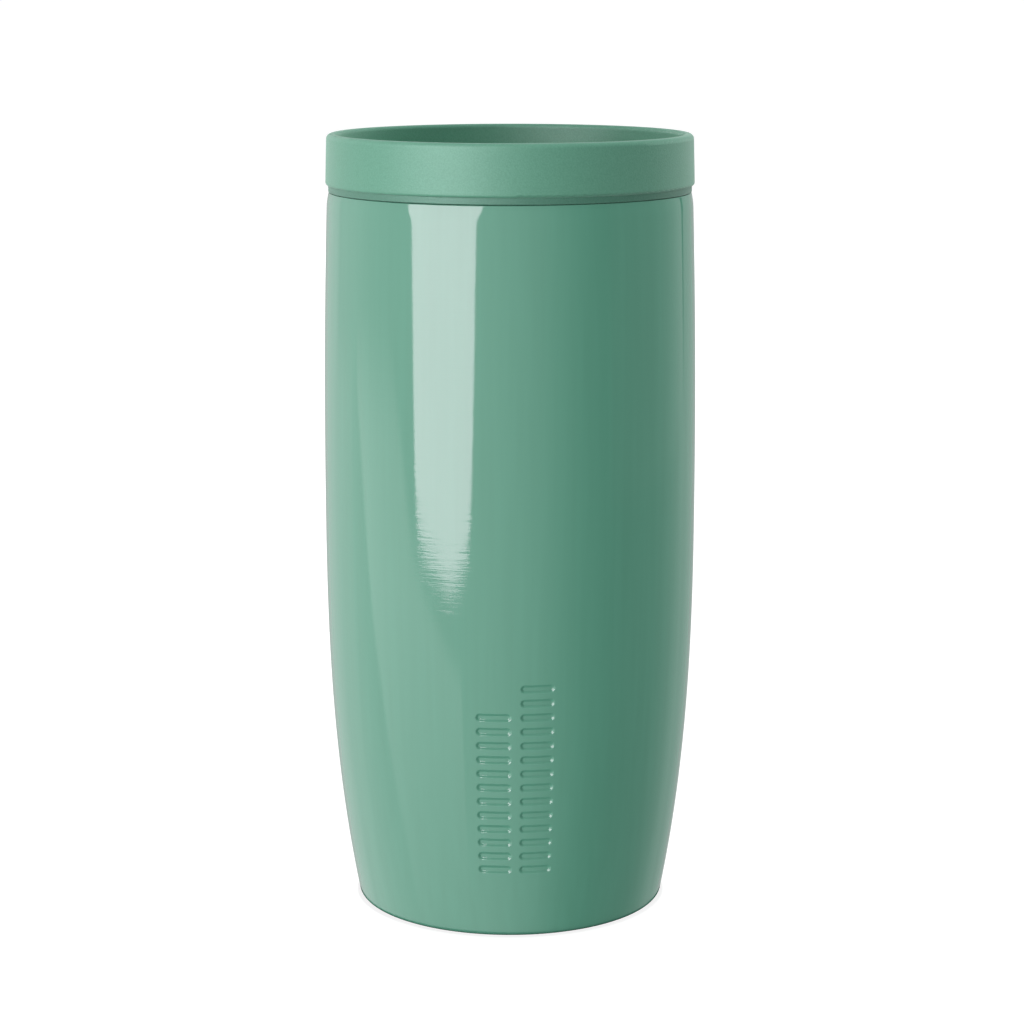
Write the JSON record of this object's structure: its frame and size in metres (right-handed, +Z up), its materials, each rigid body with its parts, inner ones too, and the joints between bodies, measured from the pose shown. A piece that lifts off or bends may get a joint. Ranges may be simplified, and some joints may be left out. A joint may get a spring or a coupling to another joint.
{
  "type": "insulated tumbler",
  "caption": "Double-walled steel tumbler with a matching screw-in lid; a flip cover in the lid's recess closes a drink opening and a vent.",
  "frame": {"origin": "centre of the foot, on the surface the tumbler stands on", "axes": "+Z up the tumbler's axis; the drink opening is towards -Y, the flip hinge lies along X"},
  "size_m": [0.0874, 0.0874, 0.1823],
  "materials": {
    "enamel": "smooth gloss enamel, sage green",
    "lid_plastic": "fine matte grain, sage green",
    "neck_plastic": "darker moulded plastic of the plug and neck",
    "steel": "fine brushed",
    "copper_foil": "bright copper foil",
    "glass_bead": "grey sealing glass",
    "getter": "sintered, dull",
    "silicone": "milky translucent silicone",
    "foam": "rigid foam"
  },
  "bodies": {
    "cup": {"outer_shell": "enamel", "inner_liner": "steel", "liner_floor": "steel", "radiation_foil": "copper_foil", "outer_base": "steel", "vacuum_seal": "glass_bead", "base_cover": "steel", "getter": "getter", "getter_clip": "steel"},
    "gasket": {"lid_gasket": "silicone"},
    "lid": {"lid_base": "neck_plastic", "lid_foam": "foam", "lid_shell": "lid_plastic", "flip_hinge_pin": "steel"},
    "flip": {"flip_cover": "lid_plastic", "drink_seal": "silicone", "vent_seal": "silicone"}
  },
  "joints": [
    {"name": "lid_lift", "type": "slide", "parent": "cup", "child": "gasket", "axis": [0, 0, 1], "range_m": [0, 0.04]},
    {"name": "lid_turn", "type": "hinge", "parent": "gasket", "child": "lid", "pos_m": [0, 0, 0.1689], "axis": [0, 0, 1], "range_deg": [0, 900]},
    {"name": "flip_hinge", "type": "hinge", "parent": "lid", "child": "flip", "pos_m": [0, -0.002, 0.1745], "axis": [-1, 0, 0], "range_deg": [0, 170]}
  ],
  "couplings": [
    {"joint": "lid_lift", "follows": "lid_turn", "m_per_rad": 0.0025464}
  ]
}
